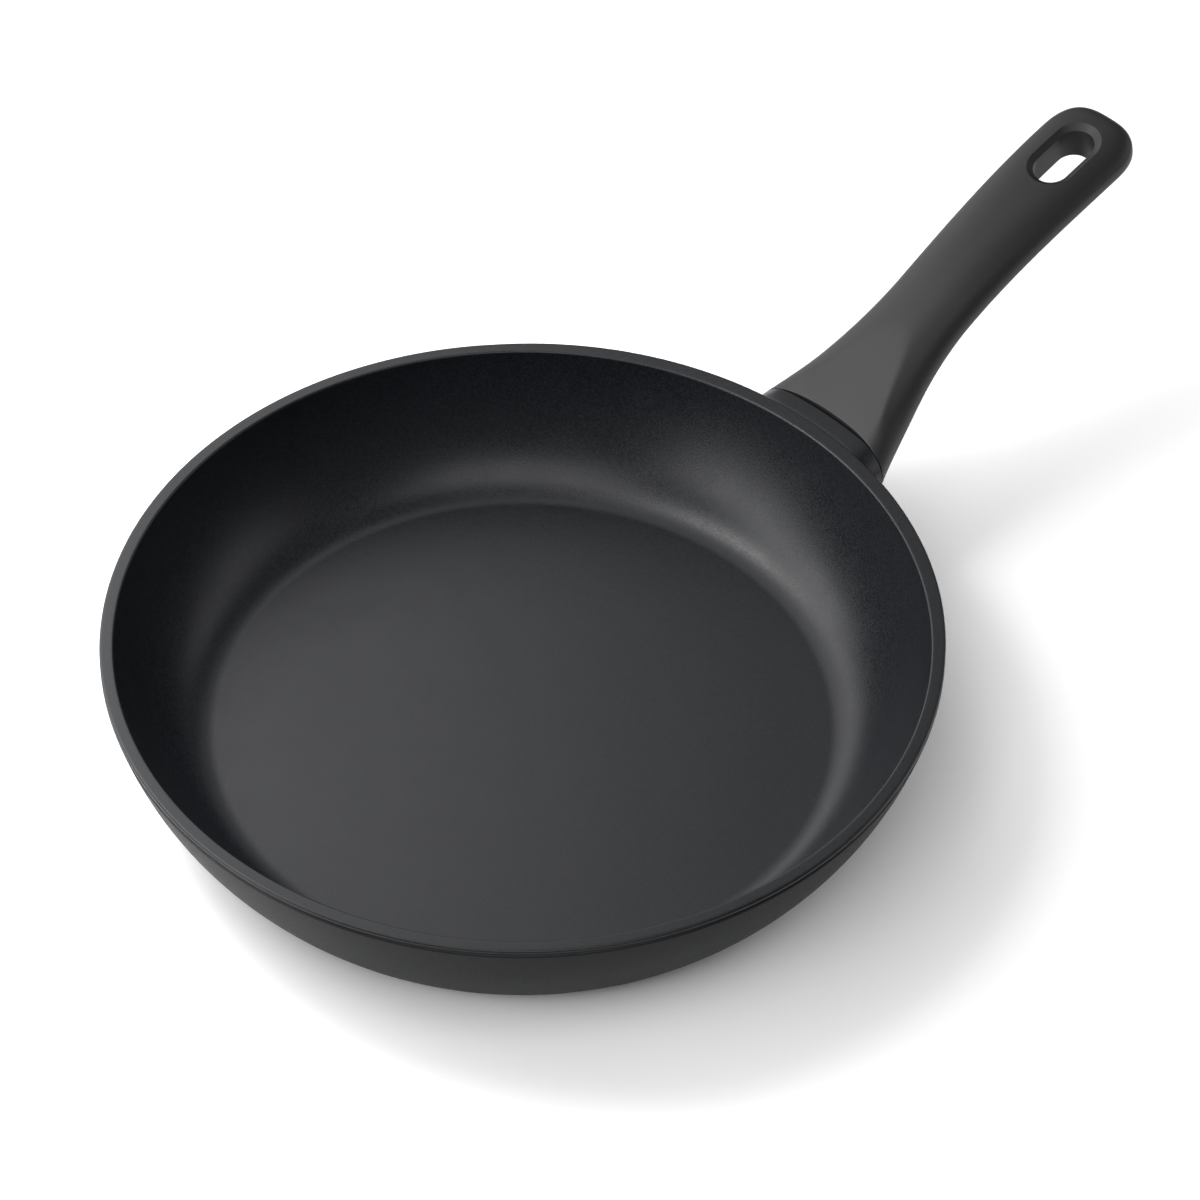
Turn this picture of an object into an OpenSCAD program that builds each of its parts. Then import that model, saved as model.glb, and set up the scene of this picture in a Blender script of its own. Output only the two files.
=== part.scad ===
// Omelette pan: a cast pan with curved sides and a fixed moulded handle.
// The origin is the centre of the base on the hob, +Z is up and the handle points along +X.

/* [Pan] */
// Outside diameter across the rim
rim_d = 280; // [250:5:320]
// Height from the base to the top of the rim
pan_h = 52; // [44:1:60]
// Radius of the curve that the side follows from the rim down to the base
side_curve_r = 109; // [102:1:126]
// Slope of the side under the rim, in degrees from upright
rim_slope = 12.5; // [9:0.5:16]
// Thickness of the cast side
side_t = 5; // [4:0.1:5.8]
// Thickness of the cast floor
floor_t = 7; // [6:0.1:8.5]
// Radius of the outer corner between the side and the base
base_corner_r = 12; // [8:1:16]
// Radius of the inner corner between the side and the cooking floor
floor_corner_r = 20; // [14:1:24]

/* [Rim] */
// Height of the lip above the groove
lip_h = 1.2; // [1:0.1:2]
// Height of the groove that runs round under the lip
groove_h = 1; // [0.6:0.1:1.6]
// Depth of the groove
groove_depth = 0.7; // [0.4:0.1:1]
// Radius of the lip's outer edge
lip_edge_r = 0.8; // [0.4:0.1:0.9]
// Radius of the lip's inner edge
inner_edge_r = 0.8; // [0.4:0.1:1.2]
// How much wider the lip is at the collar than opposite it
lip_flare = 1.2; // [0.6:0.1:1.6]
// Angle from the handle at which the lip starts to widen
flare_angle = 50; // [44:1:56]

/* [Collar] */
// Distance that the collar reaches past the rim
collar_reach = 8; // [6:0.1:12]
// Drop from the top of the rim to the top of the collar
collar_drop = 0.6; // [0.4:0.1:1.2]
// Open joint between the collar and the handle
joint_gap = 0.3; // [0.2:0.1:0.6]
// Softness of the collar's upper edges
collar_soft = 1.2; // [0.6:0.1:2]

/* [Tongue and socket] */
// Length of the tongue past the collar
tongue_l = 28; // [24:1:32]
// Width of the tongue
tongue_w = 18; // [14:0.5:20]
// Thickness of the tongue
tongue_t = 8; // [7:0.5:8.5]
// Radius of the tongue's long edges
tongue_edge_r = 2; // [1:0.5:3]
// Lift of the tongue above the middle of the handle
tongue_lift = 0.5; // [0:0.1:0.8]
// Clearance round the tongue in its socket, except underneath, where it seats
socket_gap = 0.3; // [0.2:0.05:0.5]

/* [Handle] */
// Length of the handle from the collar to its tip, measured level
grip_l = 143.7; // [130:0.1:160]
// Rise of the handle's middle line from the collar to the tip
grip_rise = 58.9; // [52:0.1:64]
// Rise of the middle line where it leaves the collar, in degrees
root_slope = 31.8; // [28:0.1:34]
// Rise of the middle line at the tip, in degrees
tip_slope = 11.3; // [8:0.1:16]
// How far the middle line keeps its first slope
root_pull = 51.7; // [44:0.1:60]
// How far the middle line keeps its last slope
tip_pull = 72; // [60:1:82]
// Drop from the rim to the handle's widest line at the collar
root_drop = 10.8; // [9.8:0.1:11.3]
// Width at the collar
root_w = 57.2; // [50:0.2:62]
// Height of the crown over the widest line at the collar
root_crown = 12.4; // [12:0.1:14]
// Depth of the belly under the widest line at the collar
root_belly = 11.9; // [11.5:0.1:14]
// Distance of the waist from the collar
waist_at = 54; // [48:1:62]
// Width at the waist
waist_w = 31.8; // [28:0.2:36]
// Height of the crown at the waist
waist_crown = 8; // [7:0.1:9]
// Depth of the belly at the waist
waist_belly = 8.4; // [7.5:0.1:10]
// Width at the end
end_w = 35.2; // [31:0.2:40]
// Height of the crown at the end
end_crown = 7; // [6:0.1:8]
// Depth of the belly at the end
end_belly = 7; // [6:0.1:8]
// Slope of the thumb flat, in degrees
thumb_slope = 30.2; // [28:0.1:33]
// Softness of the thumb flat's edges
thumb_soft = 0.4; // [0.2:0.1:1]

/* [Hanging slot] */
// Distance from the middle of the slot to the tip
slot_from_tip = 25.8; // [24:0.2:30]
// Length of the slot from end to end
slot_l = 25.6; // [21:0.2:28]
// Width of the slot
slot_w = 13.4; // [10:0.2:14]
// Width of the bevel round the slot
slot_bevel_w = 2.7; // [1.6:0.1:3]
// Depth of the bevel round the slot
slot_bevel_h = 1.9; // [1.2:0.1:2.4]

/* [Screw] */
// Distance of the screw from the collar, along the tongue
screw_at = 15; // [12:0.5:17]
// Thread diameter
screw_d = 5; // [4:0.5:6]
// Diameter of the head
head_d = 9.4; // [9:0.1:10.5]
// Height of the head
head_h = 2.7; // [2.4:0.1:3]
// Handle floor that the screw clamps against the tongue
clamp_t = 2.5; // [2:0.1:2.8]
// Thickness of the spring washer
washer_t = 1.1; // [0.8:0.1:1.3]
// Outside diameter of the spring washer
washer_d = 8.6; // [8:0.1:9]
// Clearance of the screw in the handle, on the radius
hole_gap = 0.3; // [0.2:0.05:0.5]
// Clearance of the thread in the tongue, on the radius
thread_gap = 0.05; // [0.02:0.01:0.1]

/* [Base plate] */
// Thickness of the magnetic plate pressed into the base
plate_t = 0.8; // [0.5:0.1:1.2]
// Width of the cast ring left round the plate
plate_margin = 12; // [9:0.5:20]
// Diameter of the plate's holes, which the cast base fills
plate_hole_d = 7; // [5:0.5:9]
// Rings of holes in the plate
plate_rings = 4; // [3:1:5]
// Distance from the outer ring of holes to the plate's edge
plate_edge = 12.5; // [9:0.5:16]

/* [Hidden] */
$fn = 96;
// How far a cut runs past the face that it leaves
past = 1;
coating = [0.15, 0.155, 0.165];
moulding = [0.11, 0.11, 0.12];
stainless = [0.66, 0.66, 0.67];
zinc = [0.74, 0.75, 0.77];

rim_r = rim_d / 2;
collar_r = rim_r + collar_reach;
handle_r = collar_r + joint_gap;
root_z = pan_h - root_drop;
collar_z = pan_h - collar_drop;

// The side's curve, inside and out, is drawn about one centre, so the wall keeps its thickness.
groove_top = pan_h - lip_h;
groove_low = groove_top - groove_h;
side_x = rim_r - side_curve_r * cos(rim_slope);
side_z = groove_low + side_curve_r * sin(rim_slope);
inner_curve_r = side_curve_r - side_t;

// Number of straight steps in the long curves and in the small corners of an outline
curve_steps = 18;
corner_steps = 6;

function arc(x, z, r, from, to, steps) =
    [for (i = [0:steps]) let (a = from + (to - from) * i / steps) [x + r * cos(a), z + r * sin(a)]];
function ease(x) = let (k = min(1, max(0, x))) k * k * (3 - 2 * k);

// A corner of radius r lies between the side's curve and the level z0, and touches both.
function corner_x(curve_r, r, z0) = side_x + sqrt(pow(curve_r - r, 2) - pow(side_z - z0 - r, 2));
function corner_angle(curve_r, r, z0) = atan2(z0 + r - side_z, corner_x(curve_r, r, z0) - side_x);
// Angle and radius of the side's curve at the height z
function curve_angle(curve_r, z) = -asin((side_z - z) / curve_r);
function curve_x(curve_r, z) = side_x + curve_r * cos(curve_angle(curve_r, z));

base_r = corner_x(side_curve_r, base_corner_r, 0);
floor_r = corner_x(inner_curve_r, floor_corner_r, floor_t);
plate_r = base_r - plate_margin;

// The lip's inner edge rolls over from the level rim onto the inner side.
edge_z = pan_h - inner_edge_r;
edge_x = side_x + sqrt(pow(inner_curve_r + inner_edge_r, 2) - pow(side_z - edge_z, 2));
edge_angle = atan2(side_z - edge_z, side_x - edge_x);

groove_x = rim_r - groove_depth;

// The wider part of the lip is round too, about a centre that lies towards the handle.
flare_x = lip_flare / (1 - cos(flare_angle));
flare_r = rim_r + lip_flare - flare_x;

// Half the pan's cross-section, from the middle of the base round to the middle of the floor
function pan_outline() = concat(
    [[0, 0]],
    arc(base_r, base_corner_r, base_corner_r, -90,
        corner_angle(side_curve_r, base_corner_r, 0), corner_steps),
    arc(side_x, side_z, side_curve_r, corner_angle(side_curve_r, base_corner_r, 0),
        curve_angle(side_curve_r, groove_low), curve_steps),
    [[groove_x, groove_low], [groove_x, groove_top], [rim_r, groove_top]],
    arc(rim_r - lip_edge_r, pan_h - lip_edge_r, lip_edge_r, 0, 90, corner_steps),
    arc(edge_x, edge_z, inner_edge_r, 90, edge_angle, corner_steps),
    arc(side_x, side_z, inner_curve_r, edge_angle - 180,
        corner_angle(inner_curve_r, floor_corner_r, floor_t), curve_steps),
    arc(floor_r, floor_t + floor_corner_r, floor_corner_r,
        corner_angle(inner_curve_r, floor_corner_r, floor_t), -90, corner_steps),
    [[0, floor_t]]);

// The wider part of the lip: only a crescent of it stands out past the round rim.
module wide_lip() {
    difference() {
        translate([flare_x, 0, groove_top])
            rotate_extrude($fn = 180)
                polygon(concat([[0, 0], [flare_r, 0]],
                    arc(flare_r - lip_edge_r, lip_h - lip_edge_r, lip_edge_r, 0, 90, corner_steps),
                    [[0, lip_h]]));
        translate([0, 0, groove_top - past])
            cylinder(h = lip_h + 2 * past, r = (edge_x + rim_r) / 2, $fn = 180);
    }
}

// Everything inside the middle of the side's thickness, where the collar must not reach
module inside_of_side() {
    middle_r = side_curve_r - side_t / 2;
    low = floor_t;
    high = pan_h + past;
    rotate_extrude()
        polygon(concat([[0, low]],
            arc(side_x, side_z, middle_r, curve_angle(middle_r, low), curve_angle(middle_r, high),
                curve_steps),
            [[0, high]]));
}

// The handle's middle line is one smooth curve with a given slope at each end.
root_p = [collar_r, root_z];
tip_p = root_p + [grip_l, grip_rise];
root_lead = root_p + root_pull * [cos(root_slope), sin(root_slope)];
tip_lead = tip_p - tip_pull * [cos(tip_slope), sin(tip_slope)];
waist_x = collar_r + waist_at;
end_x = tip_p.x - end_w / 2;

function spine(t) = pow(1 - t, 3) * root_p + 3 * pow(1 - t, 2) * t * root_lead
    + 3 * (1 - t) * t * t * tip_lead + pow(t, 3) * tip_p;
function spine_run(t) = 3 * pow(1 - t, 2) * (root_lead - root_p)
    + 6 * (1 - t) * t * (tip_lead - root_lead) + 3 * t * t * (tip_p - tip_lead);
function spine_slope(t) = atan2(spine_run(t).y, spine_run(t).x);
// Place along the middle line at the distance x from the pan's axis, by halving the interval
function place_at(x, low = 0, high = 1, tries = 20) =
    let (mid = (low + high) / 2)
    tries == 0 ? mid
    : spine(mid).x < x ? place_at(x, mid, high, tries - 1)
    : place_at(x, low, mid, tries - 1);

// A size of the cross-section flares from the waist to the collar and swells to the end.
function along(x, root, waist, end) =
    waist + (root - waist) * pow(max(0, waist_x - x) / (waist_x - collar_r), 2)
    + (end - waist) * ease((x - waist_x) / (end_x - waist_x));
function half_w(x) = along(x, root_w, waist_w, end_w) / 2;
function crown(x) = along(x, root_crown, waist_crown, end_crown);
function belly(x) = along(x, root_belly, waist_belly, end_belly);

// Squareness of the cross-section: 2 is an ellipse, and more is squarer
crown_power = [2.5, 2.4, 2.8];
belly_power = [2.5, 2.4, 2.6];
tip_power = 2.6;
tip_edge_power = 2.2;
function squared(v, power) = sign(v) * pow(abs(v), 2 / power);

// One point of the cross-section: w, up and down are its half width, crown and belly.
function section_point(a, x, w, up, down) =
    let (top = sin(a) > 0,
         power = top ? along(x, crown_power[0], crown_power[1], crown_power[2])
                     : along(x, belly_power[0], belly_power[1], belly_power[2]))
    [w * squared(cos(a), power), (top ? up : down) * squared(sin(a), power)];

// A height over a plane is cut off at the plane, with a soft edge.
function shaved(h, soft) = h > soft ? 0
    : h < -soft ? h : -pow(h - soft, 2) / (4 * soft);

section_points = 56;
function around(i) = 360 * i / section_points;

// The collar's outline is the handle's at the collar, cut level at the top.
function collar_point(i) =
    let (p = section_point(around(i), collar_r, root_w / 2, root_crown, root_belly),
         h = root_z + p.y - collar_z)
    [p.x, root_z + p.y - (h - shaved(h, collar_soft))];

// How far the ring bends back at the half width y, to follow the collar's round face
function bend(y) = collar_r - sqrt(collar_r * collar_r - y * y);
// The tip closes over this share of the handle's half width or crown.
function closed(left, size, power) =
    let (q = max(0, 1 - left / size)) pow(1 - pow(q, power), 1 / power);

// Rings turn from upright at the collar to square across the middle line, and lose their bend.
turn_share = 0.15;
bend_share = 0.2;
// The flat's edges are as soft as the collar's at first, and sharpen over this distance.
soft_run = 16;
function grip_ring(t) =
    let (p = spine(t),
         left = norm(tip_p - p),
         w = half_w(p.x) * closed(left, half_w(p.x), tip_power),
         close = closed(left, crown(p.x), tip_edge_power),
         slope = spine_slope(t) * ease(t / turn_share),
         stay = 1 - ease(t / bend_share),
         soft = collar_soft + (thumb_soft - collar_soft) * ease((p.x - collar_r) / soft_run))
    [for (i = [0:section_points - 1])
        let (s = section_point(around(i), p.x, w, crown(p.x) * close, belly(p.x) * close),
             x = p.x - s.y * sin(slope),
             z = p.y + s.y * cos(slope),
             h = (z - collar_z) * cos(thumb_slope) - (x - handle_r) * sin(thumb_slope),
             cut = h - shaved(h, soft))
        [x + cut * sin(thumb_slope) - bend(s.x) * stay, s.x, z - cut * cos(thumb_slope)]];

// Rings stand evenly along the handle, and close up round the tip.
grip_rings = 34;
tip_rings = 14;
root_overlap = 6;
last_turn = 89;
function tip_place(a) = 1 - (end_w / 2) * (1 - sin(a)) / (3 * tip_pull);
ring_places = concat(
    [for (i = [0:grip_rings - 1]) i / grip_rings * tip_place(0)],
    [for (i = [0:tip_rings]) tip_place(last_turn * i / tip_rings)]);

module grip_skin() {
    inner_ring = [for (i = [0:section_points - 1])
        let (p = collar_point(i)) [collar_r - root_overlap, p.x, p.y]];
    rings = concat([inner_ring], [for (t = ring_places) grip_ring(t)]);
    n = section_points;
    last = len(rings) - 1;
    points = [for (ring = rings) each ring];
    sides = [for (k = [0:last - 1], i = [0:n - 1])
        let (a = k * n + i, b = k * n + (i + 1) % n)
        each [[a, b, b + n], [a, b + n, a + n]]];
    start = [for (i = [n - 1:-1:0]) i];
    end = [for (i = [0:n - 1]) last * n + i];
    polyhedron(points, concat([start], sides, [end]), convexity = 6);
}

// The tongue's frame: X runs along the tongue from the collar's face, Z is square to it.
module in_tongue_frame() {
    translate([collar_r, 0, root_z])
        rotate([0, -root_slope, 0])
            translate([0, 0, tongue_lift])
                children();
}

// A bar along X from x0 to x1 with rounded long edges, its underside at z0
module rounded_bar(x0, x1, w, z0, t, r) {
    translate([x0, 0, z0])
        rotate([90, 0, 90])
            linear_extrude(x1 - x0)
                union() {
                    translate([-w / 2 + r, 0]) square([w - 2 * r, t]);
                    translate([-w / 2, r]) square([w, t - 2 * r]);
                    for (x = [-w / 2 + r, w / 2 - r], y = [r, t - r])
                        translate([x, y]) circle(r);
                }
}

tongue_root = 13;
module tongue() {
    in_tongue_frame()
        rounded_bar(-tongue_root, tongue_l, tongue_w, -tongue_t / 2, tongue_t, tongue_edge_r);
}

module tongue_socket() {
    in_tongue_frame()
        rounded_bar(-tongue_root, tongue_l + socket_gap, tongue_w + 2 * socket_gap, -tongue_t / 2,
            tongue_t + socket_gap, tongue_edge_r);
}

// The screw's frame: its axis is Z, and 0 is the seat in the handle's floor.
module in_screw_frame() {
    in_tongue_frame()
        translate([screw_at, 0, -tongue_t / 2 - clamp_t])
            children();
}

module collar() {
    difference() {
        intersection() {
            rotate([90, 0, 90])
                linear_extrude(2 * collar_r)
                    polygon([for (i = [0:section_points - 1]) collar_point(i)]);
            cylinder(h = pan_h, r = collar_r, $fn = 180);
        }
        inside_of_side();
    }
}

// Each ring has six more holes than the one inside it, so the holes lie evenly.
module plate_holes() {
    pitch = (plate_r - plate_edge) / plate_rings;
    for (k = [1:plate_rings], i = [0:6 * k - 1])
        rotate(60 * i / k)
            translate([k * pitch, 0])
                circle(d = plate_hole_d, $fn = 48);
}

module plate_shape() {
    linear_extrude(plate_t)
        difference() {
            circle(plate_r);
            plate_holes();
        }
}

module pan_body() {
    color(coating)
        difference() {
            union() {
                rotate_extrude($fn = 180) polygon(pan_outline());
                wide_lip();
                collar();
                tongue();
            }
            plate_shape();
            in_screw_frame()
                cylinder(h = clamp_t + tongue_t + past, r = screw_d / 2 + thread_gap);
        }
}

module induction_plate() {
    color(stainless) plate_shape();
}

// Half the slot's cross-section at one face, where its edge is bevelled: 0 is the face
slot_edge = [[0, -slot_bevel_h], [slot_w / 2, -slot_bevel_h], [slot_w / 2 + slot_bevel_w, 0],
    [slot_w / 2 + slot_bevel_w, past], [0, past]];

module slot_mouth(x, up) {
    t = place_at(x);
    size = up > 0 ? crown(x) : belly(x);
    p = spine(t) + up * size * [-sin(spine_slope(t)), cos(spine_slope(t))];
    run = slot_l - slot_w;
    translate([x, 0, p.y + (x - p.x) * tan(spine_slope(t))])
        rotate([0, -spine_slope(t), 0])
            mirror([0, 0, up > 0 ? 0 : 1]) {
                for (side = [-1, 1])
                    translate([side * run / 2, 0, 0])
                        rotate_extrude() polygon(slot_edge);
                translate([-run / 2, 0, 0])
                    rotate([90, 0, 90])
                        linear_extrude(run)
                            for (side = [0, 1])
                                mirror([side, 0]) polygon(slot_edge);
            }
}

module hanging_slot() {
    x = tip_p.x - slot_from_tip;
    run = slot_l - slot_w;
    low = root_z;
    high = tip_p.y + 2 * end_crown;
    translate([x, 0, low])
        linear_extrude(high - low)
            union() {
                for (side = [-1, 1])
                    translate([side * run / 2, 0]) circle(d = slot_w);
                square([run, slot_w], center = true);
            }
    slot_mouth(x, 1);
    slot_mouth(x, -1);
}

module grip() {
    recess_r = head_d / 2 + hole_gap;
    recess_depth = root_belly + waist_belly;
    color(moulding)
        difference() {
            grip_skin();
            cylinder(h = pan_h + root_w, r = handle_r, $fn = 180);
            tongue_socket();
            in_screw_frame() {
                cylinder(h = 2 * clamp_t, r = screw_d / 2 + hole_gap);
                translate([0, 0, -recess_depth]) cylinder(h = recess_depth, r = recess_r);
            }
            hanging_slot();
        }
}

// Pan head with a cross recess, its shank reaching through the tongue
cross_w = 1.2;
cross_l = 5;
cross_depth = 1.5;
thread_short = 1;
module grip_screw() {
    shank_l = washer_t + clamp_t + tongue_t - thread_short;
    face_r = head_d / 2 - head_h / 2;
    color(zinc)
        in_screw_frame()
            translate([0, 0, -washer_t])
                difference() {
                    union() {
                        cylinder(h = shank_l, r = screw_d / 2);
                        rotate_extrude()
                            polygon(concat([[0, 0], [0, -head_h], [face_r, -head_h]],
                                arc(face_r, -head_h / 2, head_h / 2, -90, 0, corner_steps),
                                [[head_d / 2, 0]]));
                    }
                    for (turn = [0, 90])
                        rotate(turn)
                            translate([-cross_l / 2, -cross_w / 2, -head_h - past])
                                cube([cross_l, cross_w, cross_depth + past]);
                }
}

// A split ring, pressed flat under the head
washer_gap = 0.2;
washer_split = 15;
module spring_washer() {
    color(zinc)
        in_screw_frame()
            translate([0, 0, -washer_t])
                rotate_extrude(angle = 360 - washer_split)
                    translate([screw_d / 2 + washer_gap, 0])
                        square([washer_d / 2 - screw_d / 2 - washer_gap, washer_t]);
}

pan_body();
induction_plate();
grip();
grip_screw();
spring_washer();
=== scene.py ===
# Omelette pan: a cast aluminium pan with a non-stick coating and a moulded handle.
# The pan stands on z = 0 with its axis on the origin, and the handle points along +X.
# Sizes are written in millimetres and scaled by MM at the end, because the scene is in metres.
import math

import bmesh
import bpy
from mathutils import Matrix, Vector
from mathutils.geometry import interpolate_bezier


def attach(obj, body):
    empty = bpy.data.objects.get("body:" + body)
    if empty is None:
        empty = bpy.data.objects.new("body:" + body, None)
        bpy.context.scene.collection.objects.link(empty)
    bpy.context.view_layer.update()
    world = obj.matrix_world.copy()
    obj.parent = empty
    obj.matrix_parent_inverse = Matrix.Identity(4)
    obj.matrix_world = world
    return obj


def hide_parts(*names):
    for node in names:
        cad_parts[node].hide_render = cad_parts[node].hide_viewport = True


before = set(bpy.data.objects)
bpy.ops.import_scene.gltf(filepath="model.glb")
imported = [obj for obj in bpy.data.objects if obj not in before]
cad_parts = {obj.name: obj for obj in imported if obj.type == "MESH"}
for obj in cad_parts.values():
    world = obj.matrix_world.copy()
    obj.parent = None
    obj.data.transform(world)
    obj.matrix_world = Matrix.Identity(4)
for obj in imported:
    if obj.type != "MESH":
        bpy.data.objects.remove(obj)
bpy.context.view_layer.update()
scene = bpy.context.scene
scene.view_settings.view_transform = "Standard"
MM = 0.001


# Camera: a long lens looking down into the pan at 45 degrees, with the handle running away to the
# upper right. It stands 1.5 m from the middle of the rim.
RIM_Z = 52
AZIMUTH, ELEVATION, ROLL = -45.43, 45.56, 0.92
ASIDE, ABOVE, AWAY = 25.5, 9.1, 1491.1
lens = bpy.data.cameras.new("camera")
lens.sensor_width = 36
lens.lens = 135
camera = bpy.data.objects.new("camera", lens)
scene.collection.objects.link(camera)
scene.camera = camera
turn = (Matrix.Rotation(math.radians(AZIMUTH), 4, "Z")
        @ Matrix.Rotation(math.radians(90 - ELEVATION), 4, "X")
        @ Matrix.Rotation(math.radians(ROLL), 4, "Z"))
camera.matrix_world = (Matrix.Translation((0, 0, RIM_Z * MM)) @ turn
                       @ Matrix.Translation(Vector((ASIDE, ABOVE, AWAY)) * MM))


# Casting: floor, curved side, flat rim and the collar that carries the handle are one piece of
# cast aluminium. The side is 5 mm thick under the rim, and thickens where it runs into the floor.
RIM_R = 140
SIDE_T = 5
SIDE_CURVE_R = 109
RIM_SLOPE = math.radians(12.5)
FLOOR_T = 7
BASE_CORNER_R = 12
FLOOR_CORNER_R = 20
SIDE_END = math.radians(15)
SIDE_PULL, FLOOR_PULL, BEND_STEPS = 0.45, 0.69, 48
LIP_H = 1.2
GROOVE_H = 1.0
GROOVE_DEPTH = 0.7
GROOVE_SOFT = 0.2
LIP_EDGE_R = 0.8
INNER_EDGE_R = 0.8
LIP_FLARE = 1.2
FLARE_ANGLE = math.radians(50)
PLATE_MARGIN, PLATE_T, PLATE_EDGE_R = 12, 0.8, 0.2
ROUND_STEPS = 240
NEAR, UPRIGHT = 0.05, 0.1
groove_top = RIM_Z - LIP_H
groove_low = groove_top - GROOVE_H
side_mid = Vector((RIM_R - SIDE_CURVE_R * math.cos(RIM_SLOPE), 0,
                   groove_low + SIDE_CURVE_R * math.sin(RIM_SLOPE)))
inner_curve_r = SIDE_CURVE_R - SIDE_T


def side_at(r, z):
    """Distance from the pan's axis to the side's curve of radius r, at the height z."""
    return side_mid.x + math.sqrt(r * r - (side_mid.z - z) ** 2)


def corner_mid(r, corner_r, z):
    """Middle of a corner that touches the side's curve of radius r and the level z."""
    return Vector((side_at(r - corner_r, z + corner_r), 0, z + corner_r))


def line_to(bm, vert, x, z, steps=1):
    """Draws the outline on, straight to a point."""
    step = (Vector((x, 0, z)) - vert.co) / steps
    for _ in range(steps):
        new = bmesh.ops.extrude_vert_indiv(bm, verts=[vert])["verts"][0]
        new.co = vert.co + step
        vert = new
    return vert


def arc_to(bm, vert, middle, x, z, steps):
    """Draws the outline on, round a middle as far as the direction of a point."""
    angle = (vert.co - middle).xz.angle_signed((Vector((x, 0, z)) - middle).xz)
    return bmesh.ops.spin(bm, geom=[vert], cent=middle, axis=(0, 1, 0), dvec=(0, 0, 0),
                          angle=angle, steps=steps, use_merge=False,
                          use_duplicate=False)["geom_last"][0]


def new_piece(name, bm, material, slot, *cad_nodes):
    """Scales a finished bmesh to metres and makes it a piece of the pan."""
    bmesh.ops.scale(bm, vec=(MM, MM, MM), verts=bm.verts)
    mesh = bpy.data.meshes.new(name)
    bm.to_mesh(mesh)
    bm.free()
    mesh.shade_smooth()
    mesh.materials.append(material)
    piece = bpy.data.objects.new(name, mesh)
    scene.collection.objects.link(piece)
    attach(piece, "root")
    if cad_nodes:
        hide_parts(*cad_nodes)
    return piece


def linear(hex_colour):
    """Turns an sRGB hex value into linear red, green, blue and alpha."""
    parts = [int(hex_colour[i:i + 2], 16) / 255 for i in (1, 3, 5)]
    return [v / 12.92 if v <= 0.04045 else ((v + 0.055) / 1.055) ** 2.4 for v in parts] + [1]


def node(tree, kind, settings=None, links=None):
    """Adds a node. Each entry of links is a socket to join or a plain value to set."""
    new = tree.nodes.new(kind)
    for name, value in (settings or {}).items():
        setattr(new, name, value)
    for name, value in (links or {}).items():
        if isinstance(value, bpy.types.NodeSocket):
            tree.links.new(value, new.inputs[name])
        else:
            new.inputs[name].default_value = value
    return new


# The coating is PTFE with fine mineral grains, sprayed on a shot-blasted casting and baked. It is
# black with a soft satin sheen, which the spray leaves a little more or less matt from place to
# place. Each grain has its own shade and sheen, and the blasted metal tilts it slightly, so the
# sheen sparkles. Real grains of about 0.1 mm are too fine to show, and are drawn 0.6 mm wide.
GRAIN, GRAIN_H, SPRAY_PATCH = 0.6, 0.03, 12
coating = bpy.data.materials.new("sprayed nonstick coating")
coating.use_nodes = True
tree = coating.node_tree
shader = tree.nodes["Principled BSDF"]
shader.inputs["IOR"].default_value = 1.38
place = node(tree, "ShaderNodeTexCoord").outputs["Object"]
grain = node(tree, "ShaderNodeTexVoronoi",
             links={"Vector": place, "Scale": 1 / (GRAIN * MM)})
tint = node(tree, "ShaderNodeValToRGB", links={"Fac": grain.outputs["Color"]})
for stop, at, colour in zip(tint.color_ramp.elements, (0.2, 0.8), ("#0b0c0f", "#111318")):
    stop.position, stop.color = at, linear(colour)
tree.links.new(tint.outputs["Color"], shader.inputs["Base Color"])
patch = node(tree, "ShaderNodeTexNoise",
             links={"Vector": place, "Scale": 1 / (SPRAY_PATCH * MM), "Detail": 2.0})
uneven = node(tree, "ShaderNodeMath", {"operation": "ADD"})
tree.links.new(grain.outputs["Color"], uneven.inputs[0])
tree.links.new(patch.outputs[0], uneven.inputs[1])
matt = node(tree, "ShaderNodeMapRange",
            links={"Value": uneven.outputs[0], "From Min": 0.3, "From Max": 1.7,
                   "To Min": 0.28, "To Max": 0.42})
tree.links.new(matt.outputs[0], shader.inputs["Roughness"])
rough_metal = node(tree, "ShaderNodeTexNoise",
                   links={"Vector": place, "Scale": 1 / (GRAIN * MM), "Detail": 2.0})
bump = node(tree, "ShaderNodeBump",
            links={"Strength": 1.0, "Distance": GRAIN_H * MM, "Height": rough_metal.outputs[0]})
tree.links.new(bump.outputs[0], shader.inputs["Normal"])

# The outside has a plain silicone-polyester lacquer instead, sprayed over the same blasted metal:
# a deeper and duller black, with the metal's roughness softened to an even orange peel.
PEEL, PEEL_H = 0.9, 0.006
lacquer = bpy.data.materials.new("sprayed matt lacquer")
lacquer.use_nodes = True
tree = lacquer.node_tree
shader = tree.nodes["Principled BSDF"]
shader.inputs["IOR"].default_value = 1.4
shader.inputs["Specular IOR Level"].default_value = 0.2
place = node(tree, "ShaderNodeTexCoord").outputs["Object"]
peel = node(tree, "ShaderNodeTexNoise",
            links={"Vector": place, "Scale": 1 / (PEEL * MM), "Detail": 2.0})
tint = node(tree, "ShaderNodeValToRGB", links={"Fac": peel.outputs[0]})
for stop, at, colour in zip(tint.color_ramp.elements, (0.3, 0.7), ("#0c0d0e", "#111213")):
    stop.position, stop.color = at, linear(colour)
tree.links.new(tint.outputs["Color"], shader.inputs["Base Color"])
matt = node(tree, "ShaderNodeMapRange",
            links={"Value": peel.outputs[0], "From Min": 0.3, "From Max": 0.7,
                   "To Min": 0.5, "To Max": 0.58})
tree.links.new(matt.outputs[0], shader.inputs["Roughness"])
bump = node(tree, "ShaderNodeBump",
            links={"Strength": 1.0, "Distance": PEEL_H * MM, "Height": peel.outputs[0]})
tree.links.new(bump.outputs[0], shader.inputs["Normal"])

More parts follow.
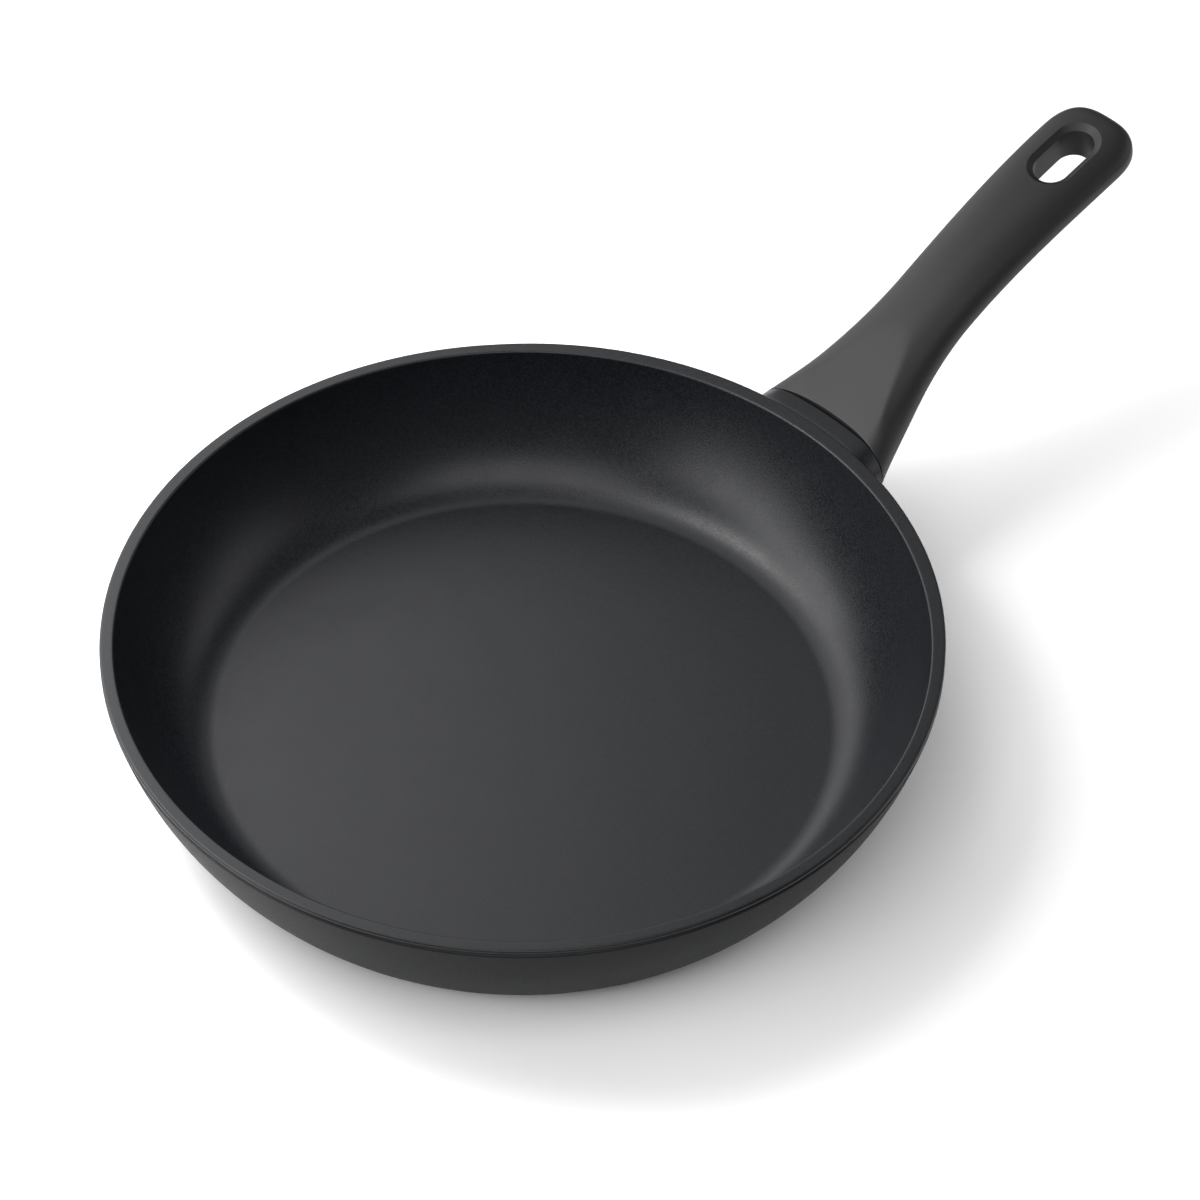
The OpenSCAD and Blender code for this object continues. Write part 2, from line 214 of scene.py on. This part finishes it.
bm = bmesh.new()
base_corner = corner_mid(SIDE_CURVE_R, BASE_CORNER_R, 0)
floor_corner = corner_mid(inner_curve_r, FLOOR_CORNER_R, FLOOR_T)
groove_x = RIM_R - GROOVE_DEPTH
lip_mid = Vector((RIM_R - LIP_EDGE_R, 0, RIM_Z - LIP_EDGE_R))
edge_z = RIM_Z - INNER_EDGE_R
edge_mid = Vector((side_at(inner_curve_r + INNER_EDGE_R, edge_z), 0, edge_z))
plate_r = base_corner.x - PLATE_MARGIN
vert = line_to(bm, bm.verts.new((0, 0, PLATE_T)), plate_r, PLATE_T, 6)
for x, z in ((plate_r, PLATE_EDGE_R), (plate_r + PLATE_EDGE_R, 0), (base_corner.x, 0)):
    vert = line_to(bm, vert, x, z)
touch = side_mid + (base_corner - side_mid).normalized() * SIDE_CURVE_R
vert = arc_to(bm, vert, base_corner, touch.x, touch.z, 12)
vert = arc_to(bm, vert, side_mid, side_at(SIDE_CURVE_R, groove_low), groove_low, 40)
for x, z in ((groove_x + GROOVE_SOFT, groove_low), (groove_x, groove_low + GROOVE_SOFT),
             (groove_x, groove_top - GROOVE_SOFT), (groove_x + GROOVE_SOFT, groove_top),
             (RIM_R - GROOVE_SOFT, groove_top), (RIM_R, groove_top + GROOVE_SOFT),
             (RIM_R, lip_mid.z)):
    vert = line_to(bm, vert, x, z)
vert = arc_to(bm, vert, lip_mid, lip_mid.x, RIM_Z, 8)
vert = line_to(bm, vert, edge_mid.x, RIM_Z, 4)
vert = arc_to(bm, vert, edge_mid, side_mid.x, side_mid.z, 8)
# The curve tightens evenly from the side to the floor, so that a highlight on it is one band.
side_end = side_mid + inner_curve_r * Vector((math.cos(SIDE_END), 0, -math.sin(SIDE_END)))
vert = arc_to(bm, vert, side_mid, side_end.x, side_end.z, 12)
floor_end = Vector((floor_corner.x, 0, FLOOR_T))
crossing = side_end - Vector((math.tan(SIDE_END), 0, 1)) * (side_end.z - FLOOR_T)
for p in interpolate_bezier(side_end, side_end.lerp(crossing, SIDE_PULL),
                            floor_end.lerp(crossing, FLOOR_PULL), floor_end, BEND_STEPS)[1:]:
    vert = line_to(bm, vert, p.x, p.z)
vert = line_to(bm, vert, 0, FLOOR_T, 8)
bmesh.ops.spin(bm, geom=bm.verts[:] + bm.edges[:], cent=(0, 0, 0), axis=(0, 0, 1),
               dvec=(0, 0, 0), angle=math.tau, steps=ROUND_STEPS, use_merge=True,
               use_duplicate=False)
bmesh.ops.remove_doubles(bm, verts=bm.verts, dist=0.001)
# The lip widens towards the collar, where its outer edge is round about a centre further along.
flare_x = LIP_FLARE / (1 - math.cos(FLARE_ANGLE))
flare_r = RIM_R + LIP_FLARE - flare_x
for vert in bm.verts:
    r, angle = vert.co.xy.length, math.atan2(vert.co.y, vert.co.x)
    outer = r > RIM_R - GROOVE_SOFT - NEAR
    if vert.co.z > groove_top + NEAR or outer and vert.co.z > groove_top - NEAR:
        wide = (flare_x * math.cos(angle)
                + math.sqrt(flare_r ** 2 - (flare_x * math.sin(angle)) ** 2))
        share = min(1, max(0, (r - edge_mid.x) / (lip_mid.x - edge_mid.x)))
        vert.co.xy *= 1 + max(0, wide - RIM_R) * share / r
bmesh.ops.recalc_face_normals(bm, faces=bm.faces)
# The lacquer is on every face below the lip that doesn't face up.
for face in bm.faces:
    face.material_index = int(face.normal.z < UPRIGHT
                              and face.calc_center_median().z < groove_top)
casting = new_piece("casting", bm, coating, "coating", "pan_body")
casting.data.materials.append(lacquer)

# The base has round studs that fill the holes of the plate pressed into it, level with the plate.
PLATE_HOLE_D, PLATE_RINGS, PLATE_EDGE = 7, 4, 12.5
STUD_EDGE_R, STUD_ROOT = 0.15, 0.6
bm = bmesh.new()
stud_h = PLATE_T + STUD_ROOT
for ring in range(1, PLATE_RINGS + 1):
    for i in range(6 * ring):
        where = Matrix.Rotation(math.radians(60 / ring) * i, 4, "Z") @ Matrix.Translation(
            (ring * (plate_r - PLATE_EDGE) / PLATE_RINGS, 0, stud_h / 2))
        bmesh.ops.create_cone(bm, cap_ends=True, segments=40, radius1=PLATE_HOLE_D / 2,
                              radius2=PLATE_HOLE_D / 2, depth=stud_h, matrix=where)
low_edges = [e for e in bm.edges if max(v.co.z for v in e.verts) < STUD_EDGE_R]
bmesh.ops.bevel(bm, geom=low_edges, offset=STUD_EDGE_R, segments=2, profile=0.5, material=-1,
                affect="EDGES")
bmesh.ops.recalc_face_normals(bm, faces=bm.faces)
studs = new_piece("base_studs", bm, lacquer, "coating")

# The plate itself is punched from ferritic stainless steel and ground in one direction, which
# leaves fine straight lines that draw its reflections out sideways. An induction hob heats it.
LINE_L, LINE_W, LINE_H = 30, 0.25, 0.002
stainless = bpy.data.materials.new("ground stainless steel")
stainless.use_nodes = True
tree = stainless.node_tree
shader = tree.nodes["Principled BSDF"]
shader.inputs["Metallic"].default_value = 1.0
place = node(tree, "ShaderNodeTexCoord").outputs["Object"]
stretched = node(tree, "ShaderNodeMapping", links={
    "Vector": place, "Scale": (1 / (LINE_L * MM), 1 / (LINE_W * MM), 1 / (LINE_W * MM))})
lines = node(tree, "ShaderNodeTexNoise",
             links={"Vector": stretched.outputs[0], "Scale": 1.0, "Detail": 3.0})
tint = node(tree, "ShaderNodeValToRGB", links={"Fac": lines.outputs[0]})
for stop, at, colour in zip(tint.color_ramp.elements, (0.3, 0.7), ("#b4b2ae", "#c9c7c3")):
    stop.position, stop.color = at, linear(colour)
tree.links.new(tint.outputs["Color"], shader.inputs["Base Color"])
matt = node(tree, "ShaderNodeMapRange",
            links={"Value": lines.outputs[0], "From Min": 0.3, "From Max": 0.7,
                   "To Min": 0.25, "To Max": 0.42})
tree.links.new(matt.outputs[0], shader.inputs["Roughness"])
bump = node(tree, "ShaderNodeBump",
            links={"Strength": 1.0, "Distance": LINE_H * MM, "Height": lines.outputs[0]})
tree.links.new(bump.outputs[0], shader.inputs["Normal"])
for face_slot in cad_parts["induction_plate"].material_slots:
    face_slot.material = stainless


# Collar: a boss cast on the side, as wide as the handle's root and level with the rim on top. Its
# outer face follows the pan's round, and a flat tongue runs on from it inside the handle.
COLLAR_R = RIM_R + 8
COLLAR_DROP, ROOT_DROP = 0.6, 10.8
COLLAR_Z = RIM_Z - COLLAR_DROP
ROOT_Z = RIM_Z - ROOT_DROP
ROOT_W, ROOT_CROWN, ROOT_BELLY = 57.2, 12.4, 11.9
COLLAR_EDGE_R = 0.15
COLLAR_SOFT = 1.2
TONGUE_L, TONGUE_W, TONGUE_T, TONGUE_LIFT = 28, 18, 8, 0.5
TONGUE_SQUARE = 6
ROOT_SLOPE = math.radians(31.8)
AROUND = 160


def squared(v, power):
    """A sine or cosine bent so that a circle of them becomes a squarer outline."""
    return math.copysign(abs(v) ** (2 / power), v)


def outline(angle, w, up, down, top_power, low_power):
    """Point of a rounded cross-section: w, up and down are its half width, crown and belly."""
    s = math.sin(angle)
    power, size = (top_power, up) if s > 0 else (low_power, down)
    return w * squared(math.cos(angle), power), size * squared(s, power)


def shaved(h, soft):
    """Cuts a height over a plane off at the plane, with a soft edge."""
    if h > soft:
        return 0
    return h if h < -soft else -(h - soft) ** 2 / (4 * soft)


def collar_outline(angle):
    """The collar's cross-section: the handle's at its root, cut level at the top."""
    y, z = outline(angle, ROOT_W / 2, ROOT_CROWN, ROOT_BELLY, 2.5, 2.5)
    h = ROOT_Z + z - COLLAR_Z
    return y, ROOT_Z + z - (h - shaved(h, COLLAR_SOFT))


def inset(points, d):
    """Moves each point of a closed ring inwards by d, square to the ring."""
    n = len(points)
    moved = []
    for i, p in enumerate(points):
        along = points[(i + 1) % n] - points[i - 1]
        flat = Vector((0, along.y, along.z)).normalized()
        moved.append(p + Vector((0, -flat.z, flat.y)) * d)
    return moved


def ring_of(point_at):
    """A closed ring of points, from a function of the angle."""
    return [Vector(point_at(math.tau * i / AROUND)) for i in range(AROUND)]


def tongue_point(angle, along, grow=0):
    """Point on the tongue's skin, at a distance along it from the collar's face."""
    y, z = outline(angle, TONGUE_W / 2 + grow, TONGUE_T / 2 + grow, TONGUE_T / 2,
                   TONGUE_SQUARE, TONGUE_SQUARE)
    z += TONGUE_LIFT
    return (COLLAR_R + along * math.cos(ROOT_SLOPE) - z * math.sin(ROOT_SLOPE), y,
            ROOT_Z + along * math.sin(ROOT_SLOPE) + z * math.cos(ROOT_SLOPE))


def onto_face(points, r):
    """Slides points along X onto a round face of radius r about the pan's axis."""
    return [Vector((math.sqrt(r * r - p.y * p.y), p.y, p.z)) for p in points]


def rolled(rings):
    """Rolls a grid into a skin through the rings, and closes it at both ends."""
    bm = bmesh.new()
    bmesh.ops.create_grid(bm, x_segments=AROUND, y_segments=len(rings) - 1, size=0.5)
    for v in bm.verts:
        i = round((v.co.x + 0.5) * AROUND) % AROUND
        v.co = rings[round((v.co.y + 0.5) * (len(rings) - 1))][i]
    bmesh.ops.remove_doubles(bm, verts=bm.verts, dist=0.0005)
    bmesh.ops.holes_fill(bm, edges=bm.edges, sides=0)
    bmesh.ops.recalc_face_normals(bm, faces=bm.faces)
    return bm


def blended(a, b, share):
    """A ring part of the way from ring a to ring b."""
    return [p.lerp(q, share) for p, q in zip(a, b)]


middle_r = SIDE_CURVE_R - SIDE_T / 2
shape = ring_of(lambda a: (0, *collar_outline(a)))
buried = [Vector((math.sqrt(side_at(middle_r, p.z) ** 2 - p.y * p.y), p.y, p.z)) for p in shape]
rings = [buried, blended(buried, onto_face(shape, COLLAR_R - COLLAR_EDGE_R), 0.5)]
for step in range(6):
    turned = math.pi / 2 * step / 5
    rings.append(onto_face(inset(shape, COLLAR_EDGE_R * (1 - math.cos(turned))),
                           COLLAR_R - COLLAR_EDGE_R * (1 - math.sin(turned))))
tongue_foot = onto_face(ring_of(lambda a: tongue_point(a, 0)), COLLAR_R)
rings += [blended(rings[-1], tongue_foot, share) for share in (0.05, 0.5, 0.95, 1)]
rings += [ring_of(lambda a: tongue_point(a, along)) for along in (4, TONGUE_L - 0.5)]
rings += [inset(ring_of(lambda a: tongue_point(a, TONGUE_L)), 0.5)]
rings += [[sum(rings[-1], Vector()) / AROUND] * AROUND]
collar = new_piece("collar", rolled(rings), coating, "coating")


# Handle: one hollow-rooted moulding in black phenolic, held by a screw from below. It swells to a
# wide root with a flat for the thumb, narrows to a waist and ends in a slot to hang it by.
HANDLE_R = COLLAR_R + 0.3
WAIST_X = COLLAR_R + 54
GRIP_L, GRIP_RISE = 143.7, 58.9
ROOT_PULL, TIP_PULL = 51.7, 72
TIP_SLOPE = math.radians(11.3)
WAIST_W, WAIST_CROWN, WAIST_BELLY = 31.8, 8, 8.4
END_W, END_CROWN, END_BELLY = 35.2, 7, 7
CROWN_SQUARE = (2.5, 2.4, 2.8)
BELLY_SQUARE = (2.5, 2.4, 2.6)
TIP_SQUARE, TIP_EDGE_SQUARE = 2.6, 2.2
THUMB_SLOPE = math.radians(30.2)
THUMB_SOFT, SOFT_RUN = 0.3, 16
TILT_RUN, BEND_RUN = 0.15, 0.2
SOCKET_GAP = 0.3
root = Vector((COLLAR_R, 0, ROOT_Z))
tip = root + Vector((GRIP_L, 0, GRIP_RISE))
root_lead = root + ROOT_PULL * Vector((math.cos(ROOT_SLOPE), 0, math.sin(ROOT_SLOPE)))
tip_lead = tip - TIP_PULL * Vector((math.cos(TIP_SLOPE), 0, math.sin(TIP_SLOPE)))
end_x = tip.x - END_W / 2


def ease(x):
    """Rises softly from 0 to 1 as x goes from 0 to 1, and stays there."""
    k = min(1, max(0, x))
    return k * k * (3 - 2 * k)


def spine(t):
    """The handle's middle line, from 0 at the collar to 1 at the tip."""
    return ((1 - t) ** 3 * root + 3 * (1 - t) ** 2 * t * root_lead
            + 3 * (1 - t) * t * t * tip_lead + t ** 3 * tip)


def spine_slope(t):
    """Slope of the middle line, as an angle."""
    run = ((1 - t) ** 2 * (root_lead - root) + 2 * (1 - t) * t * (tip_lead - root_lead)
           + t * t * (tip - tip_lead))
    return math.atan2(run.z, run.x)


def place_at(x):
    """Place along the middle line at the distance x from the pan's axis."""
    low, high = 0, 1
    for _ in range(30):
        mid = (low + high) / 2
        low, high = (mid, high) if spine(mid).x < x else (low, mid)
    return low


def along(x, at_root, at_waist, at_end):
    """A size of the cross-section: it flares to the root and swells to the end."""
    return (at_waist + (at_root - at_waist) * (max(0, WAIST_X - x) / (WAIST_X - COLLAR_R)) ** 2
            + (at_end - at_waist) * ease((x - WAIST_X) / (end_x - WAIST_X)))


def closed(left, size, power):
    """Share of a size that is left near the tip, where the handle rounds off."""
    return (1 - max(0, 1 - left / size) ** power) ** (1 / power)


def handle_ring(t):
    """The handle's skin at the place t of the middle line, with the thumb's flat cut in."""
    p = spine(t)
    left = (tip - p).length
    w, crown, belly = (along(p.x, *sizes) for sizes in (
        (ROOT_W / 2, WAIST_W / 2, END_W / 2), (ROOT_CROWN, WAIST_CROWN, END_CROWN),
        (ROOT_BELLY, WAIST_BELLY, END_BELLY)))
    w *= closed(left, w, TIP_SQUARE)
    close = closed(left, crown, TIP_EDGE_SQUARE)
    slope = spine_slope(t) * ease(t / TILT_RUN)
    stay = 1 - ease(t / BEND_RUN)
    soft = COLLAR_SOFT + (THUMB_SOFT - COLLAR_SOFT) * ease((p.x - COLLAR_R) / SOFT_RUN)

    def point(angle):
        y, s = outline(angle, w, crown * close, belly * close, along(p.x, *CROWN_SQUARE),
                       along(p.x, *BELLY_SQUARE))
        x, z = p.x - s * math.sin(slope), p.z + s * math.cos(slope)
        h = (z - COLLAR_Z) * math.cos(THUMB_SLOPE) - (x - HANDLE_R) * math.sin(THUMB_SLOPE)
        cut = h - shaved(h, soft)
        bend = COLLAR_R - math.sqrt(COLLAR_R ** 2 - y * y)
        return x + cut * math.sin(THUMB_SLOPE) - bend * stay, y, z - cut * math.cos(THUMB_SLOPE)
    return ring_of(point)


SOCKET_DEPTH = TONGUE_L + SOCKET_GAP
socket_end = ring_of(lambda a: tongue_point(a, SOCKET_DEPTH, SOCKET_GAP))
rings = [[sum(socket_end, Vector()) / AROUND] * AROUND, socket_end]
socket_mouth = onto_face(ring_of(lambda a: tongue_point(a, 0, SOCKET_GAP)), HANDLE_R)
face = []
for step in range(6):
    turned = math.pi / 2 * step / 5
    ring = handle_ring(place_at(HANDLE_R + COLLAR_EDGE_R * (1 - math.sin(turned))))
    face.insert(0, inset(ring, COLLAR_EDGE_R * (1 - math.cos(turned))))
rings += [blended(onto_face(face[0], HANDLE_R), socket_mouth, share) for share in (1, 0.5)]
rings += face
BODY_ROWS, TIP_ROWS, TIP_TURN = 200, 48, math.radians(89.5)
first = place_at(HANDLE_R + COLLAR_EDGE_R)
turn_start = 1 - (END_W / 2) / (3 * TIP_PULL)
rings += [handle_ring(first + (turn_start - first) * i / BODY_ROWS) for i in range(1, BODY_ROWS)]
for i in range(TIP_ROWS + 1):
    turned = TIP_TURN * i / TIP_ROWS
    rings.append(handle_ring(1 - (END_W / 2) * (1 - math.sin(turned)) / (3 * TIP_PULL)))

# The handle is phenolic resin filled with wood flour, moulded in a spark-eroded mould. The mould
# leaves a fine even pitting, a third of a millimetre wide, so the black has a dull, greyish sheen.
PITTING, PITTING_H = 0.35, 0.006
phenolic = bpy.data.materials.new("moulded phenolic resin")
phenolic.use_nodes = True
tree = phenolic.node_tree
shader = tree.nodes["Principled BSDF"]
shader.inputs["IOR"].default_value = 1.4
place = node(tree, "ShaderNodeTexCoord").outputs["Object"]
pits = node(tree, "ShaderNodeTexNoise",
            links={"Vector": place, "Scale": 1 / (PITTING * MM), "Detail": 3.0, "Roughness": 0.55})
tint = node(tree, "ShaderNodeValToRGB", links={"Fac": pits.outputs[0]})
for stop, at, colour in zip(tint.color_ramp.elements, (0.3, 0.7), ("#101012", "#161618")):
    stop.position, stop.color = at, linear(colour)
tree.links.new(tint.outputs["Color"], shader.inputs["Base Color"])
matt = node(tree, "ShaderNodeMapRange",
            links={"Value": pits.outputs[0], "From Min": 0.3, "From Max": 0.7,
                   "To Min": 0.44, "To Max": 0.52})
tree.links.new(matt.outputs[0], shader.inputs["Roughness"])
bump = node(tree, "ShaderNodeBump",
            links={"Strength": 1.0, "Distance": PITTING_H * MM, "Height": pits.outputs[0]})
tree.links.new(bump.outputs[0], shader.inputs["Normal"])
handle = new_piece("handle", rolled(rings), phenolic, "moulding", "grip")

# Slot and screw hole: the mould forms both, with their edges bevelled. The slot goes through
# the handle's end, and the screw sits in a round recess under the root.
SLOT_FROM_TIP, SLOT_L, SLOT_W, SLOT_BEVEL = 25.8, 25.6, 13.4, (2.3, 1.6)
SCREW_AT, RECESS_R, HOLE_R, CLAMP_T, RECESS_BEVEL = 15, 5, 2.8, 2.5, (0.4, 0.4)
OUTSIDE, PAST = 60, 4
ROUND_SHARE = 0.6


def mouth(point_at, out, bevel):
    """Rings of a hole's bevel, from its wall to the handle's skin in the direction out."""
    rings = []
    for share in (0, 0.03, 0.5, 0.97, 1):
        ring = ring_of(lambda a: point_at(a, bevel[0] * share))
        skin = [handle.ray_cast((p + out * OUTSIDE) * MM, -out)[1] / MM for p in ring]
        rings.append([p - out * bevel[1] * (1 - share) for p in skin])
    return rings + [[p + out * PAST for p in rings[-1]]]


def cut(rings):
    """Cuts the solid inside the rings out of the handle."""
    bm = rolled(rings)
    bmesh.ops.scale(bm, vec=(MM, MM, MM), verts=bm.verts)
    mesh = bpy.data.meshes.new("cutter")
    bm.to_mesh(mesh)
    bm.free()
    cutter = bpy.data.objects.new("cutter", mesh)
    scene.collection.objects.link(cutter)
    boolean = handle.modifiers.new("cut", "BOOLEAN")
    boolean.operation, boolean.solver, boolean.object = "DIFFERENCE", "EXACT", cutter
    bpy.context.view_layer.update()
    done = bpy.data.meshes.new_from_object(handle.evaluated_get(
        bpy.context.evaluated_depsgraph_get()))
    handle.modifiers.clear()
    old, handle.data = handle.data, done
    bpy.data.meshes.remove(old)
    bpy.data.objects.remove(cutter)
    bpy.data.meshes.remove(mesh)
    done.set_sharp_from_angle(angle=math.radians(20))


def slot_point(angle, grow):
    """Point on the slot's outline, grown by a distance: two half rounds joined by straights."""
    run, w = SLOT_L - SLOT_W, SLOT_W / 2 + grow
    c, s = math.cos(angle), math.sin(angle)
    q = math.atan2(abs(s), abs(c)) / (math.pi / 2)
    turned = min(1, q / ROUND_SHARE) * math.pi / 2
    x = run / 2 * min(1, (1 - q) / (1 - ROUND_SHARE)) + w * math.cos(turned)
    return (tip.x - SLOT_FROM_TIP + math.copysign(x, c), math.copysign(w * math.sin(turned), s),
            ROOT_Z + GRIP_RISE)


up = Vector((0, 0, 1))
cut(mouth(slot_point, up, SLOT_BEVEL)[::-1] + mouth(slot_point, -up, SLOT_BEVEL))

screw_up = Vector((-math.sin(ROOT_SLOPE), 0, math.cos(ROOT_SLOPE)))
screw_along = Vector((math.cos(ROOT_SLOPE), 0, math.sin(ROOT_SLOPE)))
seat = root + screw_along * SCREW_AT + screw_up * (TONGUE_LIFT - TONGUE_T / 2 - CLAMP_T)


def bore_point(angle, r, rise=0):
    """Point of a round of radius r about the screw, at a height over its seat."""
    return (seat + screw_up * rise
            + (screw_along * math.cos(angle) + Vector((0, 1, 0)) * math.sin(angle)) * r)


cut([ring_of(lambda a: bore_point(a, HOLE_R, CLAMP_T + 1)),
     ring_of(lambda a: bore_point(a, HOLE_R)), ring_of(lambda a: bore_point(a, RECESS_R))]
    + mouth(lambda a, grow: bore_point(a, RECESS_R + grow), -screw_up, RECESS_BEVEL))

# Screw and spring washer: the frame's own nodes, of cold-formed steel. They are zinc plated and
# blue passivated, which gives a bright, slightly cloudy silver.
CLOUD = 1.5
zinc = bpy.data.materials.new("zinc-plated steel")
zinc.use_nodes = True
tree = zinc.node_tree
shader = tree.nodes["Principled BSDF"]
shader.inputs["Metallic"].default_value = 1.0
place = node(tree, "ShaderNodeTexCoord").outputs["Object"]
cloud = node(tree, "ShaderNodeTexNoise",
             links={"Vector": place, "Scale": 1 / (CLOUD * MM), "Detail": 3.0})
tint = node(tree, "ShaderNodeValToRGB", links={"Fac": cloud.outputs[0]})
for stop, at, colour in zip(tint.color_ramp.elements, (0.35, 0.65), ("#a9adb3", "#c3c6ca")):
    stop.position, stop.color = at, linear(colour)
tree.links.new(tint.outputs["Color"], shader.inputs["Base Color"])
matt = node(tree, "ShaderNodeMapRange",
            links={"Value": cloud.outputs[0], "From Min": 0.35, "From Max": 0.65,
                   "To Min": 0.24, "To Max": 0.38})
tree.links.new(matt.outputs[0], shader.inputs["Roughness"])
for name in ("grip_screw", "spring_washer"):
    for face_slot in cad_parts[name].material_slots:
        face_slot.material = zinc


# Stage: a matt white table under ten softboxes of a studio. The table takes the object's shadow,
# and to the camera, directly or in a reflection, it is a clear white.
bm = bmesh.new()
bmesh.ops.create_grid(bm, x_segments=1, y_segments=1, size=6)
mesh = bpy.data.meshes.new("table")
bm.to_mesh(mesh)
bm.free()
table = bpy.data.objects.new("table", mesh)
scene.collection.objects.link(table)
white = bpy.data.materials.new("matt white paper")
white.use_nodes = True
tree = white.node_tree
shader = tree.nodes["Principled BSDF"]
shader.inputs["Roughness"].default_value = 1.0
shader.inputs["Specular IOR Level"].default_value = 0.0
path = node(tree, "ShaderNodeLightPath")
seen = path.outputs["Is Camera Ray"]
for ray in ("Is Glossy Ray", "Is Transmission Ray"):
    either = node(tree, "ShaderNodeMath", {"operation": "MAXIMUM"})
    tree.links.new(seen, either.inputs[0])
    tree.links.new(path.outputs[ray], either.inputs[1])
    seen = either.outputs[0]
tint = node(tree, "ShaderNodeValToRGB", links={"Fac": seen})
for stop, colour in zip(tint.color_ramp.elements, ("#e7e7e7", "#ffffff")):
    stop.color = linear(colour)
tree.links.new(tint.outputs["Color"], shader.inputs["Base Color"])
mesh.materials.append(white)


def softbox(name, azimuth, elevation, distance, width, height, watts):
    """A softbox that looks at the middle of the pan. Azimuth 0 is along the handle."""
    light = bpy.data.lights.new(name, "AREA")
    light.shape = "RECTANGLE"
    light.size = width
    light.size_y = height
    light.energy = watts
    lamp = bpy.data.objects.new(name, light)
    a, e = math.radians(azimuth), math.radians(elevation)
    where = Vector((math.cos(a) * math.cos(e), math.sin(a) * math.cos(e), math.sin(e)))
    lamp.location = where * distance
    lamp.rotation_euler = where.to_track_quat("Z", "Y").to_euler()
    scene.collection.objects.link(lamp)


softbox("left, overhead", 134.5, 70, 0.8, 0.5, 0.5, 0.8)
softbox("left, high and narrow", 119.5, 60, 0.7, 0.2, 0.2, 1.7)
softbox("left, low", 159.5, 20, 1.0, 0.6, 0.5, 4.6)
softbox("left, narrow", 119.5, 33, 0.5, 0.3, 0.3, 1.3)
softbox("back left, narrow", 94.5, 45, 0.5, 0.25, 0.25, 0.3)
softbox("back left, high", 74.5, 50, 0.8, 0.6, 0.6, 1.7)
softbox("back left, low", 74.5, 20, 1.0, 0.8, 0.5, 2.6)
softbox("back", 44.5, 42, 1.0, 0.8, 0.6, 0.91)
softbox("right", -30.5, 22, 1.0, 0.8, 0.5, 1.64)
softbox("front, high", 224.5, 60, 1.0, 0.8, 0.6, 4.1)
world = bpy.data.worlds.new("studio")
scene.world = world
world.use_nodes = True
world.node_tree.nodes["Background"].inputs["Color"].default_value = (1, 1, 1, 1)
world.node_tree.nodes["Background"].inputs["Strength"].default_value = 0.22
